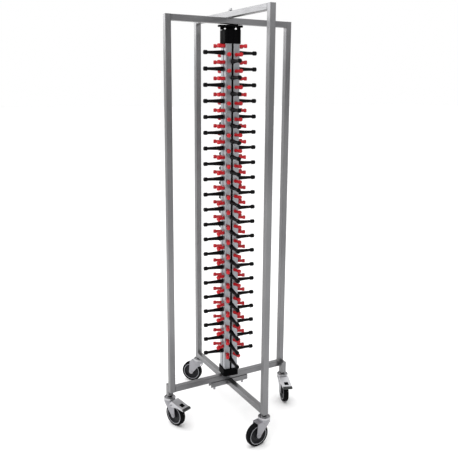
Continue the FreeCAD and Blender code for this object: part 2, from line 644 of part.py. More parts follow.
round_edges(cap, lobes, "cart.cap_lobe_corner", lobe_corner)
hole_level = "cart.cap_sleeve_height + cart.cap_fin_height / 2"
for plane in ("XZ_Plane", "YZ_Plane"):
    fin_holes = new_sketch(cap, plane)
    circle(fin_holes, "cart.cap_hole_place", hole_level, "cart.cap_hole_radius")
    circle(fin_holes, "-cart.cap_hole_place", hole_level, "cart.cap_hole_radius")
    pocket(cap, fin_holes, "4 * cart.cap_fin_half", both_ways=True)
cap_bore = new_sketch(cap, "XY_Plane", "cart.cap_recess + cart.rail_wall")
circle(cap_bore, "0", "0", "cart.bar_hole_radius")
pocket(cap, cap_bore, "cart.cap_side", backwards=True)
place(cap, z="cart.cap_bottom", turn="cart.column_turn")

# Stacks: one long arm under each plate and two short pegs over it
arm_corners = [
    ("cart.core_reach", "0"),
    ("cart.core_reach", "cart.arm_shank_radius"),
    ("cart.column_half", "cart.arm_shank_radius"),
    ("cart.column_half", "cart.arm_root_radius"),
    ("cart.column_half + cart.arm_root_length", "cart.arm_root_radius"),
]
foot_corners = [
    ("cart.column_half", "0"),
    ("cart.column_half", "cart.peg_foot_radius"),
    ("cart.column_half + cart.peg_foot", "cart.peg_foot_radius"),
    ("cart.column_half + cart.peg_foot", "0"),
]
peg_corners = [
    ("cart.peg_start", "0"),
    ("cart.peg_start", "cart.peg_root_radius"),
    ("cart.peg_start + cart.arm_root_length", "cart.peg_root_radius"),
]


def repeat_up(body, originals, sketch):
    """Repeat features once for every plate level."""
    pattern = body.newObject("PartDesign::LinearPattern", body.Name + "_levels")
    pattern.Originals = originals
    pattern.Direction = (sketch, ["V_Axis"])
    pattern.setExpression("Length", "cart.level_pitch * (cart.level_count - 1)")
    pattern.setExpression("Occurrences", "cart.level_count")
    body.Tip = pattern


stacks = [("right", 0, False), ("back", 90, True), ("left", 180, False), ("front", 270, True)]
for side, quarter, lower in stacks:
    turn = "cart.column_turn + %d deg" % quarter
    level = "cart.lowest_arm_level"
    if lower:
        level = level + " - cart.stack_drop"
    arms = new_body("support_arms_" + side)
    arm_half = new_sketch(arms, "XZ_Plane")
    turned_outline(arm_half, arm_corners, "cart.arm_tip", "cart.arm_knob_radius", "cart.arm_neck_radius")
    first_arm = revolve(arms, arm_half, "H_Axis")
    repeat_up(arms, [first_arm], arm_half)
    place(arms, z=level, turn=turn)
    pegs = new_body("hold_down_pegs_" + side)
    first_pegs = []
    for sign, way in (("", -1), ("-", 1)):
        foot_half = new_sketch(pegs, "XZ_Plane", sign + "cart.peg_side_step")
        outline(foot_half, foot_corners)
        first_pegs.append(revolve(pegs, foot_half, "H_Axis"))
        peg_half = new_sketch(pegs, "XZ_Plane", sign + "cart.peg_axis_step")
        lean(peg_half, way, "cart.peg_splay")
        turned_outline(peg_half, peg_corners, "cart.peg_end", "cart.peg_knob_radius", "cart.peg_neck_radius")
        first_pegs.append(revolve(pegs, peg_half, "H_Axis"))
    repeat_up(pegs, first_pegs, foot_half)
    place(pegs, z=level + " + cart.peg_rise", turn=turn)

# Casters: a plug and a swivel pin on the frame, then fork, axle, wheel and tyre; two have brake pedals
axle_height = "cart.wheel_radius"
fork_half = "cart.fork_half_gap + cart.fork_sheet"
eye_low = "cart.wheel_radius - cart.fork_eye_radius"
eye_corner = "cart.fork_eye_radius * 0.7"
fork_outline = [
    ("-cart.fork_front_reach", "cart.fork_crown_top"),
    ("-cart.fork_front_reach", "cart.fork_crown_top - cart.fork_front_drop"),
    ("cart.caster_trail - cart.fork_eye_radius", axle_height),
    ("cart.caster_trail - " + eye_corner, "cart.wheel_radius - " + eye_corner),
    ("cart.caster_trail", eye_low),
    ("cart.caster_trail + " + eye_corner, "cart.wheel_radius - " + eye_corner),
    ("cart.caster_trail + cart.fork_eye_radius", axle_height),
    ("cart.fork_rear_reach", "cart.fork_crown_top - cart.fork_rear_drop"),
    ("cart.race_radius", "cart.fork_crown_top"),
]
room_low = "-cart.wheel_radius"
room_end = "4 * cart.wheel_radius"


def build_caster(name, x, y, heading, braked):
    """All pieces of one caster, standing under the tube at x, y and trailing towards heading."""
    plug = new_body("caster_plug_" + name)
    collar = new_sketch(plug, "XY_Plane")
    circle(collar, "0", "0", "cart.collar_radius")
    pad(plug, collar, "cart.collar_height")
    flange = new_sketch(plug, "XY_Plane", "cart.collar_height")
    square(flange, half_tube)
    pad(plug, flange, "cart.plug_flange")
    shank = new_sketch(plug, "XY_Plane", "cart.collar_height + cart.plug_flange")
    square(shank, "cart.tube_side / 2 - cart.tube_wall - cart.plug_slack")
    pad(plug, shank, "cart.plug_length")
    place(plug, x=x, y=y, z="cart.plug_bottom")

    pin = new_body("swivel_pin_" + name)
    pin_half = new_sketch(pin, "XZ_Plane")
    head_level = "cart.fork_ceiling - cart.race_gap"
    outline(pin_half, [
        ("0", head_level + " - cart.king_head_height"),
        ("cart.king_head_radius", head_level + " - cart.king_head_height"),
        ("cart.king_head_radius", head_level),
        ("cart.king_pin_radius", head_level),
        ("cart.king_pin_radius", "cart.cup_bottom"),
        ("cart.cup_radius", "cart.cup_bottom"),
        ("cart.cup_radius", "cart.cup_top"),
        ("cart.cup_radius - cart.cup_rim", "cart.cup_top"),
        ("cart.cup_radius - cart.cup_rim", "cart.cup_top - cart.cup_recess"),
        ("cart.boss_radius", "cart.cup_top - cart.cup_recess"),
        ("cart.boss_radius", "cart.boss_top"),
        ("0", "cart.boss_top"),
    ])
    revolve(pin, pin_half, "V_Axis")
    place(pin, x=x, y=y)

    fork = new_body("fork_" + name)
    side = new_sketch(fork, "XZ_Plane")
    outline(side, fork_outline)
    pad(fork, side, "2 * (%s)" % fork_half, both_ways=True)
    hood = new_sketch(fork, "XZ_Plane")
    outline(hood, [
        ("0", "cart.fork_crown_top - cart.hood_height"),
        ("cart.hood_low_radius", "cart.fork_crown_top - cart.hood_height"),
        ("cart.race_radius", "cart.fork_crown_top - cart.fork_sheet"),
        ("cart.race_radius", "cart.fork_crown_top"),
        ("0", "cart.fork_crown_top"),
    ])
    revolve(fork, hood, "V_Axis")
    if braked:
        rivets = new_sketch(fork, "XZ_Plane")
        circle(rivets, "cart.pedal_pivot_reach", "cart.pedal_pivot_height", "cart.pedal_rivet_radius")
        pad(fork, rivets, "2 * (cart.pedal_half_width + cart.fork_sheet)", both_ways=True)
    room = new_sketch(fork, "XZ_Plane")
    rear_ceiling = "cart.fork_crown_top - cart.fork_rear_drop - cart.fork_sheet"
    outline(room, [
        ("-cart.race_radius + cart.hood_wall", "cart.fork_ceiling"),
        ("-cart.hood_low_radius + cart.hood_wall", "cart.fork_crown_top - cart.hood_height"),
        ("-cart.hood_low_radius + cart.hood_wall", room_low),
        (room_end, room_low),
        (room_end, rear_ceiling),
        ("cart.fork_rear_reach", rear_ceiling),
        ("cart.race_radius", "cart.fork_ceiling"),
    ])
    pocket(fork, room, "2 * cart.fork_half_gap", both_ways=True)
    race = new_sketch(fork, "XY_Plane", "cart.fork_ceiling")
    circle(race, "0", "0", "cart.race_radius")
    pad(fork, race, "cart.race_top - cart.fork_ceiling")
    pin_hole = new_sketch(fork, "XY_Plane", "cart.race_top")
    circle(pin_hole, "0", "0", "cart.king_pin_radius + cart.turning_gap")
    pocket(fork, pin_hole, "2 * cart.race_height + cart.fork_sheet")
    axle_hole = new_sketch(fork, "XZ_Plane")
    circle(axle_hole, "cart.caster_trail", axle_height, "cart.axle_radius")
    pocket(fork, axle_hole, "4 * cart.fork_half_gap", both_ways=True)
    place(fork, x=x, y=y, turn=heading)

    wheel_x = "%s + cart.caster_trail * cos(%s)" % (x, heading)
    wheel_y = "%s + cart.caster_trail * sin(%s)" % (y, heading)
    axle = new_body("axle_" + name)
    axle_half = new_sketch(axle, "XY_Plane")
    head_end = "%s + cart.axle_head_length" % fork_half
    outline(axle_half, [
        ("0", "-(%s)" % head_end),
        ("cart.axle_head_radius", "-(%s)" % head_end),
        ("cart.axle_head_radius", "-(%s)" % fork_half),
        ("cart.axle_radius", "-(%s)" % fork_half),
        ("cart.axle_radius", fork_half),
        ("cart.axle_head_radius", fork_half),
        ("cart.axle_head_radius", head_end),
        ("0", head_end),
    ])
    revolve(axle, axle_half, "V_Axis")
    place(axle, x=wheel_x, y=wheel_y, z=axle_height, turn=heading)

    wheel = new_body("wheel_core_" + name)
    wheel_half = new_sketch(wheel, "XY_Plane")
    bore = "cart.axle_radius + cart.axle_fit"
    half_profile = [
        (bore, "cart.hub_half_width"),
        ("cart.hub_radius", "cart.hub_half_width"),
        ("cart.hub_radius", "cart.web_half_width"),
        ("cart.tyre_inner_radius - cart.tyre_shoulder - cart.rim_lip", "cart.web_half_width"),
        ("cart.tyre_inner_radius - cart.tyre_shoulder", "cart.rim_half_width"),
        ("cart.tyre_inner_radius - cart.rim_lip", "cart.rim_half_width"),
        ("cart.tyre_inner_radius - cart.rim_lip", "cart.rim_lip_half_width"),
        ("cart.tyre_inner_radius", "cart.rim_lip_half_width"),
    ]
    mirrored = [(radius, "-" + width) for radius, width in reversed(half_profile)]
    outline(wheel_half, half_profile + mirrored)
    revolve(wheel, wheel_half, "V_Axis")
    place(wheel, x=wheel_x, y=wheel_y, z=axle_height, turn=heading)

    tyre = new_body("tyre_" + name)
    tyre_half = new_sketch(tyre, "XY_Plane")
    rectangle(tyre_half, "cart.tyre_inner_radius", "cart.wheel_radius", "-cart.tyre_half_width", "cart.tyre_half_width")
    tread = revolve(tyre, tyre_half, "V_Axis")

    def tread_edge(edge):
        """A round edge at the outside of the tread."""
        curve = edge.Curve
        return isinstance(curve, Part.Circle) and abs(curve.Radius - value_of("cart.wheel_radius")) < 1e-6

    round_edges(tyre, tread, "cart.tyre_shoulder", tread_edge)
    place(tyre, x=wheel_x, y=wheel_y, z=axle_height, turn=heading)

    if not braked:
        return
    pedal = new_body("brake_pedal_" + name)
    cover = new_sketch(pedal, "XZ_Plane")
    plate_length = "(cart.pedal_tip - cart.pedal_start)"

    def plate_level(reach):
        """Height of the sloping pedal plate at a reach from the swivel axis."""
        return "cart.pedal_top - cart.pedal_tip_drop * (%s - cart.pedal_start) / %s" % (reach, plate_length)

    cheek_front = "cart.pedal_pivot_reach - 2 * cart.pedal_rivet_radius"
    cheek_rear = "cart.pedal_pivot_reach + 2 * cart.pedal_rivet_radius"
    cheek_low = "cart.pedal_pivot_height - 2 * cart.pedal_rivet_radius"
    outline(cover, [
        (cheek_front, cheek_low),
        (cheek_rear, cheek_low),
        ("cart.shoe_far", plate_level("cart.shoe_far") + " - 2 * cart.pedal_skirt"),
        ("cart.pedal_tip", "cart.pedal_tip_top - cart.pedal_skirt"),
        ("cart.pedal_tip", "cart.pedal_tip_top"),
        ("cart.pedal_start", "cart.pedal_top"),
        (cheek_front, "cart.pedal_pivot_height + 2 * cart.pedal_rivet_radius"),
    ])
    pad(pedal, cover, "2 * cart.pedal_half_width", both_ways=True)
    cover_room = new_sketch(pedal, "XZ_Plane")
    outline(cover_room, [
        (room_low, room_low),
        ("cart.pedal_tip - cart.pedal_sheet", room_low),
        ("cart.pedal_tip - cart.pedal_sheet", "cart.pedal_tip_top - cart.pedal_sheet"),
        ("cart.pedal_start", "cart.pedal_top - cart.pedal_sheet"),
        (room_low, "cart.pedal_top - cart.pedal_sheet"),
    ])
    pocket(pedal, cover_room, "2 * cart.pedal_half_room", both_ways=True)
    shoe = new_sketch(pedal, "XZ_Plane")
    outline(shoe, [
        ("cart.shoe_near", "cart.shoe_bottom"),
        ("cart.shoe_far", "cart.shoe_bottom"),
        ("cart.shoe_far", plate_level("cart.shoe_far") + " - cart.pedal_sheet / 2"),
        ("cart.shoe_near", plate_level("cart.shoe_near") + " - cart.pedal_sheet / 2"),
    ])
    pad(pedal, shoe, "2 * cart.shoe_half_width", both_ways=True)
    slot = new_sketch(pedal, "XY_Plane", "cart.pedal_top")
    rectangle(slot, "cart.slot_near", "cart.slot_far", "-cart.slot_half_width", "cart.slot_half_width")
    pocket(pedal, slot, "cart.pedal_tip_drop + 2 * cart.pedal_sheet")
    rivet_holes = new_sketch(pedal, "XZ_Plane")
    rivet_hole = "cart.pedal_rivet_radius + cart.axle_fit"
    circle(rivet_holes, "cart.pedal_pivot_reach", "cart.pedal_pivot_height", rivet_hole)
    pocket(pedal, rivet_holes, "4 * cart.pedal_half_width", both_ways=True)
    place(pedal, x=x, y=y, turn=heading)


build_caster("near", "0 mm", "-cart.outer_half_width", "cart.heading_near", braked=False)
build_caster("far", "0 mm", "cart.outer_half_width", "cart.heading_far", braked=False)
build_caster("left", "-cart.inner_half_width", "cart.tube_side", "cart.heading_left", braked=True)
build_caster("right", "cart.inner_half_width", "-cart.tube_side", "cart.heading_right", braked=True)

document.recompute()

# Every object has to be sound before any file is written
faulty = [item.Label for item in document.Objects if "Invalid" in item.State or "Error" in item.State]
if faulty:
    raise RuntimeError("these did not build: " + ", ".join(faulty))
os.makedirs("parts", exist_ok=True)
for body in bodies:
    if body.Shape.isNull() or not body.Shape.isValid():
        raise RuntimeError("%s has no sound shape" % body.Label)
    body.Shape.exportStep(os.path.join("parts", body.Label + ".step"))
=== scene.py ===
"""Looks, light and camera for the plating cart."""

import json
import math

import bmesh
import bpy
from mathutils import Matrix, Vector


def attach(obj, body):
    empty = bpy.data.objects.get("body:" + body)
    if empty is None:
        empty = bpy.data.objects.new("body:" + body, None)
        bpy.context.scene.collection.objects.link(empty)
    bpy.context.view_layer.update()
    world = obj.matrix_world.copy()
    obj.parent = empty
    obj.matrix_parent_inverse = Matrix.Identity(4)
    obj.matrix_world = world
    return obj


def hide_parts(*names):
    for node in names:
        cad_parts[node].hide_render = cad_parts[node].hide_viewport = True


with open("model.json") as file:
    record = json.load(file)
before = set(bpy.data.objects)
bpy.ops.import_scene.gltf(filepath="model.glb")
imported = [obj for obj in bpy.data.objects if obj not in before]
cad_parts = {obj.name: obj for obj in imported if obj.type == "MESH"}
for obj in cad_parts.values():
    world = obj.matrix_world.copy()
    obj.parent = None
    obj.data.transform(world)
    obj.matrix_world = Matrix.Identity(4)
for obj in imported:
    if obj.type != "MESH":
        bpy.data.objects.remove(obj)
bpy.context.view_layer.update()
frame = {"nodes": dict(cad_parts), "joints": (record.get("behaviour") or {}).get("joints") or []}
nodes = frame["nodes"]
joints = {joint["name"]: joint for joint in frame["joints"]}


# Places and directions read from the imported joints, in metres
def joint_place(name):
    return Vector(joints[name]["pos_m"])


def on_floor(point):
    """The point on the floor below a point."""
    return Vector((point.x, point.y, 0.0))


ALONG_X = Vector((1.0, 0.0, 0.0))
ALONG_Y = Vector((0.0, 1.0, 0.0))
UP = Vector((0.0, 0.0, 1.0))
CASTERS = ("near", "far", "left", "right")
BRAKED = ("left", "right")
FRAME_OF = {"near": "outer_frame", "far": "outer_frame", "left": "inner_frame", "right": "inner_frame"}
AXIS = joint_place("frame_fold")
SWIVEL = {name: on_floor(joint_place("swivel_" + name)) for name in CASTERS}
WHEEL = {name: joint_place("wheel_spin_" + name) for name in CASTERS}
SPIN = {name: Vector(joints["wheel_spin_" + name]["axis"]) for name in CASTERS}
TRAIL = {name: (on_floor(WHEEL[name]) - SWIVEL[name]).normalized() for name in CASTERS}

# Materials: noise gives every surface its patches, grain and roughness
NOISE_LOW = 0.3
NOISE_HIGH = 0.7
LINE_SCALE = 60.0
LINE_DETAIL = 6.0
LINE_STRENGTH = 0.08
LINE_DEPTH = 0.0004
PATCH_SCALE = 3.5
PATCH_DETAIL = 3.0
PATCH_STRETCH = (1.0, 1.0, 0.6)
CLOUD_SCALE = 14.0
CLOUD_DETAIL = 3.0
SKIN_DETAIL = 2.0
SKIN_DEPTH = 0.0002
NO_STRETCH = (1.0, 1.0, 1.0)


def new_material(name, colour, metallic, roughness):
    """A material with one Principled shader; returns it with its node tree and shader."""
    material = bpy.data.materials.new(name)
    material.use_nodes = True
    tree = material.node_tree
    shader = tree.nodes["Principled BSDF"]
    shader.inputs["Base Color"].default_value = (*colour, 1.0)
    shader.inputs["Metallic"].default_value = metallic
    shader.inputs["Roughness"].default_value = roughness
    return material, tree, shader


def add_noise(tree, scale, detail, stretch=NO_STRETCH):
    """Noise in the piece's own coordinates, stretched along the axes; returns its factor socket."""
    place = tree.nodes.new("ShaderNodeTexCoord")
    mapping = tree.nodes.new("ShaderNodeMapping")
    mapping.inputs["Scale"].default_value = stretch
    noise = tree.nodes.new("ShaderNodeTexNoise")
    noise.inputs["Scale"].default_value = scale
    noise.inputs["Detail"].default_value = detail
    tree.links.new(place.outputs["Object"], mapping.inputs["Vector"])
    tree.links.new(mapping.outputs["Vector"], noise.inputs["Vector"])
    return noise.outputs["Fac"]


def vary(tree, factor, low, high, target):
    """Lead a noise factor to a shader socket, between two numbers."""
    spread = tree.nodes.new("ShaderNodeMapRange")
    spread.inputs["From Min"].default_value = NOISE_LOW
    spread.inputs["From Max"].default_value = NOISE_HIGH
    spread.inputs["To Min"].default_value = low
    spread.inputs["To Max"].default_value = high
    tree.links.new(factor, spread.inputs["Value"])
    tree.links.new(spread.outputs["Result"], target)


def tint(tree, factor, dark, light, target):
    """Lead a noise factor to a colour socket, between two colours."""
    ramp = tree.nodes.new("ShaderNodeValToRGB")
    ramp.color_ramp.elements[0].position = NOISE_LOW
    ramp.color_ramp.elements[1].position = NOISE_HIGH
    ramp.color_ramp.elements[0].color = (*dark, 1.0)
    ramp.color_ramp.elements[1].color = (*light, 1.0)
    tree.links.new(factor, ramp.inputs["Fac"])
    tree.links.new(ramp.outputs["Color"], target)


def add_bump(tree, factor, shader, strength, depth):
    """Let a noise factor roughen the surface."""
    bump = tree.nodes.new("ShaderNodeBump")
    bump.inputs["Strength"].default_value = strength
    bump.inputs["Distance"].default_value = depth
    tree.links.new(factor, bump.inputs["Height"])
    tree.links.new(bump.outputs["Normal"], shader.inputs["Normal"])


def brushed_metal(name, dark, light, roughness, stretch):
    """Satin metal with fine grinding lines along one direction and slow cloudy patches."""
    smooth, rough = roughness
    material, tree, shader = new_material(name, light, 1.0, smooth)
    lines = add_noise(tree, LINE_SCALE, LINE_DETAIL, stretch)
    patches = add_noise(tree, PATCH_SCALE, PATCH_DETAIL, PATCH_STRETCH)
    tint(tree, patches, dark, light, shader.inputs["Base Color"])
    vary(tree, lines, smooth, rough, shader.inputs["Roughness"])
    add_bump(tree, lines, shader, LINE_STRENGTH, LINE_DEPTH)
    return material


def moulded(name, dark, light, roughness, grain, strength, gloss):
    """Moulded plastic or rubber with a fine skin."""
    smooth, rough = roughness
    material, tree, shader = new_material(name, light, 0.0, smooth)
    shader.inputs["Specular IOR Level"].default_value = gloss
    skin = add_noise(tree, grain, SKIN_DETAIL)
    clouds = add_noise(tree, CLOUD_SCALE, CLOUD_DETAIL)
    tint(tree, clouds, dark, light, shader.inputs["Base Color"])
    vary(tree, clouds, smooth, rough, shader.inputs["Roughness"])
    add_bump(tree, skin, shader, strength, SKIN_DEPTH)
    return material


# Metals: dark and light colour, roughness from and to, stretch of the grinding lines
STEEL = ((0.155, 0.155, 0.160), (0.240, 0.240, 0.246), (0.26, 0.40))
METALS = {
    "steel_along_z": (*STEEL, (12.0, 12.0, 0.25)),
    "steel_along_x": (*STEEL, (0.25, 12.0, 12.0)),
    "steel_along_y": (*STEEL, (12.0, 0.25, 12.0)),
    "weld": ((0.20, 0.19, 0.18), (0.34, 0.33, 0.32), (0.30, 0.50), (4.0, 4.0, 4.0)),
    "rail_metal": ((0.30, 0.31, 0.33), (0.40, 0.41, 0.43), (0.30, 0.44), (14.0, 14.0, 0.2)),
    "zinc": ((0.270, 0.268, 0.285), (0.360, 0.358, 0.378), (0.32, 0.46), (3.0, 3.0, 3.0)),
    # Painted light: a brighter copy of the zinc, standing in for the light on the tops and rims of the swivel
    # heads and on the pedal tops
    "zinc_painted_light": ((0.44, 0.44, 0.455), (0.54, 0.54, 0.555), (0.36, 0.50), (5.0, 5.0, 5.0)),
    # Painted shade: a darker copy of the zinc for the recess inside each swivel cup
    "recess_painted_shade": ((0.260, 0.260, 0.270), (0.340, 0.340, 0.350), (0.50, 0.64), (5.0, 5.0, 5.0)),
    "bright": ((0.40, 0.40, 0.41), (0.52, 0.52, 0.53), (0.16, 0.28), (6.0, 6.0, 6.0)),
}

# Plastics and rubber: dark and light colour, roughness from and to, grain, its strength, gloss
PLASTICS = {
    "black": ((0.0016, 0.0016, 0.0019), (0.0034, 0.0034, 0.0040), (0.36, 0.50), 900.0, 0.10, 0.08),
    "cap_black": ((0.0010, 0.0010, 0.0012), (0.0022, 0.0022, 0.0026), (0.55, 0.70), 900.0, 0.10, 0.03),
    # Painted shade: the near-black, matte sheet in each pedal's slot stands in for the shade and the black
    # tyre seen through the opening
    "slot_painted_shade": ((0.0008, 0.0008, 0.0009), (0.0016, 0.0016, 0.0018), (0.80, 0.92), 700.0, 0.10, 0.02),
    "red": ((0.40, 0.004, 0.010), (0.54, 0.010, 0.016), (0.28, 0.40), 700.0, 0.05, 0.35),
    "rubber": ((0.0018, 0.0018, 0.0021), (0.0042, 0.0042, 0.0048), (0.60, 0.76), 500.0, 0.25, 0.05),
    "wheel_grey": ((0.006, 0.006, 0.008), (0.012, 0.012, 0.015), (0.40, 0.55), 600.0, 0.12, 0.20),
    "ring_grey": ((0.24, 0.24, 0.26), (0.32, 0.32, 0.34), (0.45, 0.60), 600.0, 0.08, 0.40),
    "lip_grey": ((0.018, 0.019, 0.019), (0.034, 0.035, 0.035), (0.50, 0.65), 400.0, 0.20, 0.30),
}
looks = {name: brushed_metal(name, *values) for name, values in METALS.items()}
looks.update({name: moulded(name, *values) for name, values in PLASTICS.items()})

# Look of each carried solid by the start of its name; the first that fits counts
UPRIGHT_ENDS = ("upright", "stub")
LOOK_BY_START = {
    "inner": "steel_along_x",
    "cross_support": "steel_along_x",
    "outer": "steel_along_y",
    "rail": "rail_metal",
    "hold_down_pegs": "red",
    "tyre": "rubber",
    "wheel_core": "wheel_grey",
    "fork": "zinc",
    "swivel_pin": "zinc",
    # The pedals take the brighter copy of the zinc: painted light on their tops
    "brake_pedal": "zinc_painted_light",
    "top_cap": "cap_black",
    "column": "cap_black",
    "caster_plug": "cap_black",
    "support_arms": "black",
}


def look_for(name):
    if name.endswith(UPRIGHT_ENDS):
        return looks["steel_along_z"]
    for start, look in LOOK_BY_START.items():
        if name.startswith(start):
            return looks[look]
    return looks["bright"]


def paint(item, material):
    item.data.materials.clear()
    item.data.materials.append(material)


# Rounded edges on the carried solids
EDGE_ROUNDING = {
    "top_cap": 0.0009,
    "column_base": 0.0012,
    "fork": 0.0008,
    "brake_pedal": 0.0010,
    "cross_support": 0.0007,
    "caster_plug": 0.0004,
}
EDGE_STEPS = 3
SHARP_ANGLE = math.radians(32)
WELD_DISTANCE = 0.00001


def soften(node, width):
    """Round the sharp edges of a carried solid a little, without touching its own points."""
    joined = node.modifiers.new("joined", "WELD")
    joined.merge_threshold = WELD_DISTANCE
    bevel = node.modifiers.new("rounding", "BEVEL")
    bevel.width = width
    bevel.segments = EDGE_STEPS
    bevel.limit_method = "ANGLE"
    bevel.angle_limit = SHARP_ANGLE
    bevel.harden_normals = True


for name, node in nodes.items():
    paint(node, look_for(name))
    for start, width in EDGE_ROUNDING.items():
        if name.startswith(start):
            soften(node, width)


# Helpers for the finer pieces; a profile is a list of (distance along, radius) pairs
def add_lathe(mesh, profile, origin, along, steps):
    """Turn a profile about a line through origin."""
    along = along.normalized()
    across = along.orthogonal().normalized()
    third = along.cross(across)
    rings = []
    for distance, radius in profile:
        centre = origin + along * distance
        if radius == 0:
            rings.append([mesh.verts.new(centre)])
            continue
        ring = []
        for step in range(steps):
            angle = 2 * math.pi * step / steps
            direction = across * math.cos(angle) + third * math.sin(angle)
            ring.append(mesh.verts.new(centre + direction * radius))
        rings.append(ring)
    for lower, upper in zip(rings, rings[1:]):
        for step in range(steps):
            following = (step + 1) % steps
            corners = [lower[step % len(lower)], lower[following % len(lower)]]
            corners += [upper[following % len(upper)], upper[step % len(upper)]]
            mesh.faces.new(list(dict.fromkeys(corners)))


def add_skin(mesh, loops):
    """Join neighbouring loops of points by faces and close both ends."""
    rings = [[mesh.verts.new(point) for point in loop] for loop in loops]
    for lower, upper in zip(rings, rings[1:]):
        for step in range(len(lower)):
            following = (step + 1) % len(lower)
            mesh.faces.new((lower[step], lower[following], upper[following], upper[step]))
    mesh.faces.new(rings[0])
    mesh.faces.new(rings[-1])


def rounded(corners, radius, steps=4):
    """The same path with its inner corners rounded."""
    points = [Vector(corner) for corner in corners]
    path = [tuple(points[0])]
    for before, corner, after in zip(points, points[1:], points[2:]):
        back = before - corner
        ahead = after - corner
        start = corner + back.normalized() * min(radius, back.length / 2)
        end = corner + ahead.normalized() * min(radius, ahead.length / 2)
        for step in range(steps + 1):
            share = step / steps
            path.append(tuple(start.lerp(corner, share).lerp(corner.lerp(end, share), share)))
    path.append(tuple(points[-1]))
    return path


def closed_profile(shares, length, radius):
    """A profile given as shares of a length and a radius, closed to the axis at both ends."""
    points = [(length * along, radius * out) for along, out in shares]
    return [(points[0][0], 0.0), *points, (points[-1][0], 0.0)]


def mirrored(profile):
    return [(-along, radius) for along, radius in profile]


def both_halves(half):
    """A closed ring profile from its one half."""
    whole = half + mirrored(reversed(half))
    return [*whole, whole[0]]


def new_piece(name, mesh, body, slot, *materials):
    """Make a piece of a finished bmesh, smooth except at its sharp edges, and let it ride on a body."""
    bmesh.ops.recalc_face_normals(mesh, faces=mesh.faces)
    for face in mesh.faces:
        face.smooth = True
    for edge in mesh.edges:
        edge.smooth = edge.is_manifold and edge.calc_face_angle(0.0) < SHARP_ANGLE
    data = bpy.data.meshes.new(name)
    mesh.to_mesh(data)
    mesh.free()
    for material in materials:
        data.materials.append(material)
    piece = bpy.data.objects.new(name, data)
    bpy.context.scene.collection.objects.link(piece)
    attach(piece, body)
    return piece


# Arms and pegs: turned pins in four stacks round the column
COLUMN_TURN = math.radians(-8.5)
STACKS = {"right": 0.0, "back": 90.0, "left": 180.0, "front": 270.0}
LOW_STACKS = ("front", "back")
LEVELS = 21
PITCH = 0.066
LOWEST_ARM = 0.295
STACK_DROP = 0.036
PEG_RISE = 0.027
PEG_SIDE_STEP = 0.0155
PEG_SPLAY = math.radians(20)
COLUMN_HALF = 0.031
PIN_STEPS = 24
PIN_EDGE = 0.0012
PIN_EDGE_STEPS = 3
PIN_TAPER = ((0.12, 0.20), (0.3, 0.44), (0.6, 0.76))
KNOB_STEPS = 5
KNOB_BACK_ROUNDING = 0.0022
MARK_DEPTH = 0.0004
MARK_RADIUS = 0.0016
MARK_FLOOR_SHARE = 0.8
ARM = {
    "start": 0.029,
    "shank": 0.0036,
    "face": 0.031,
    "collar": 0.005,
    "root": 0.0098,
    "neck": 0.0060,
    "knob": 0.0090,
    "knob_length": 0.0165,
    "knob_rounding": 0.0050,
    "tip": 0.1180,
}
PEG = {
    "start": 0.0030,
    "shank": 0.0060,
    "face": 0.0031,
    "collar": 0.005,
    "root": 0.0068,
    "neck": 0.0064,
    "knob": 0.0083,
    "knob_length": 0.0120,
    "knob_rounding": 0.0032,
    "tip": 0.0360,
}
PEG_FOOT = 0.006
PEG_FOOT_RADIUS = 0.0076
PEG_FOOT_SHARES = ((0.0, 1.0), (0.72, 1.0), (1.0, 0.86))
PEG_FOOT_EDGE = 0.0009


def pin_profile(pin):
    """A turned pin: a collar at the rail, a taper, and a short round-edged knob with a moulding mark."""
    tip = pin["tip"]
    knob = pin["knob"]
    neck = pin["neck"]
    root = pin["root"]
    waist = tip - pin["knob_length"]
    root_end = pin["face"] + pin["collar"]
    stem = [(pin["start"], 0.0), (pin["start"], pin["shank"]), (pin["face"], pin["shank"])]
    stem += [(pin["face"], root), (root_end, root)]
    for share, bend in PIN_TAPER:
        stem.append((root_end + (waist - root_end) * share, root + (neck - root) * bend))
    stem.append((waist, neck))
    stem = rounded(stem, PIN_EDGE, PIN_EDGE_STEPS)
    back = rounded([(waist, neck), (waist, knob), (tip, knob)], KNOB_BACK_ROUNDING, KNOB_STEPS)
    front = rounded([(waist, knob), (tip, knob), (tip, 0.0)], pin["knob_rounding"], KNOB_STEPS)
    mark_floor = tip - MARK_DEPTH
    mark = [(tip, MARK_RADIUS), (mark_floor, MARK_RADIUS * MARK_FLOOR_SHARE), (mark_floor, 0.0)]
    return stem[:-1] + back[:-1] + front[1:-1] + mark


arm_profile = pin_profile(ARM)
peg_profile = pin_profile(PEG)
foot_profile = closed_profile(PEG_FOOT_SHARES, PEG_FOOT, PEG_FOOT_RADIUS)
foot_profile = rounded(foot_profile, PEG_FOOT_EDGE, PIN_EDGE_STEPS)
for side, quarter in STACKS.items():
    angle = COLUMN_TURN + math.radians(quarter)
    outward = Vector((math.cos(angle), math.sin(angle), 0.0))
    sideways = UP.cross(outward)
    lowest = LOWEST_ARM
    if side in LOW_STACKS:
        lowest -= STACK_DROP
    arm_mesh = bmesh.new()
    peg_mesh = bmesh.new()
    for level in range(LEVELS):
        foot = AXIS + UP * (lowest + PITCH * level)
        add_lathe(arm_mesh, arm_profile, foot, outward, PIN_STEPS)
        for side_way in (-1, 1):
            seat = foot + UP * PEG_RISE + outward * COLUMN_HALF + sideways * side_way * PEG_SIDE_STEP
            splayed = outward * math.cos(PEG_SPLAY) + sideways * side_way * math.sin(PEG_SPLAY)
            add_lathe(peg_mesh, foot_profile, seat, outward, PIN_STEPS)
            add_lathe(peg_mesh, peg_profile, seat, splayed, PIN_STEPS)
    arms = new_piece("arms_" + side, arm_mesh, "column", "black_plastic", looks["black"])
    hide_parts("support_arms_" + side)
    pegs = new_piece("pegs_" + side, peg_mesh, "column", "red_plastic", looks["red"])
    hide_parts("hold_down_pegs_" + side)

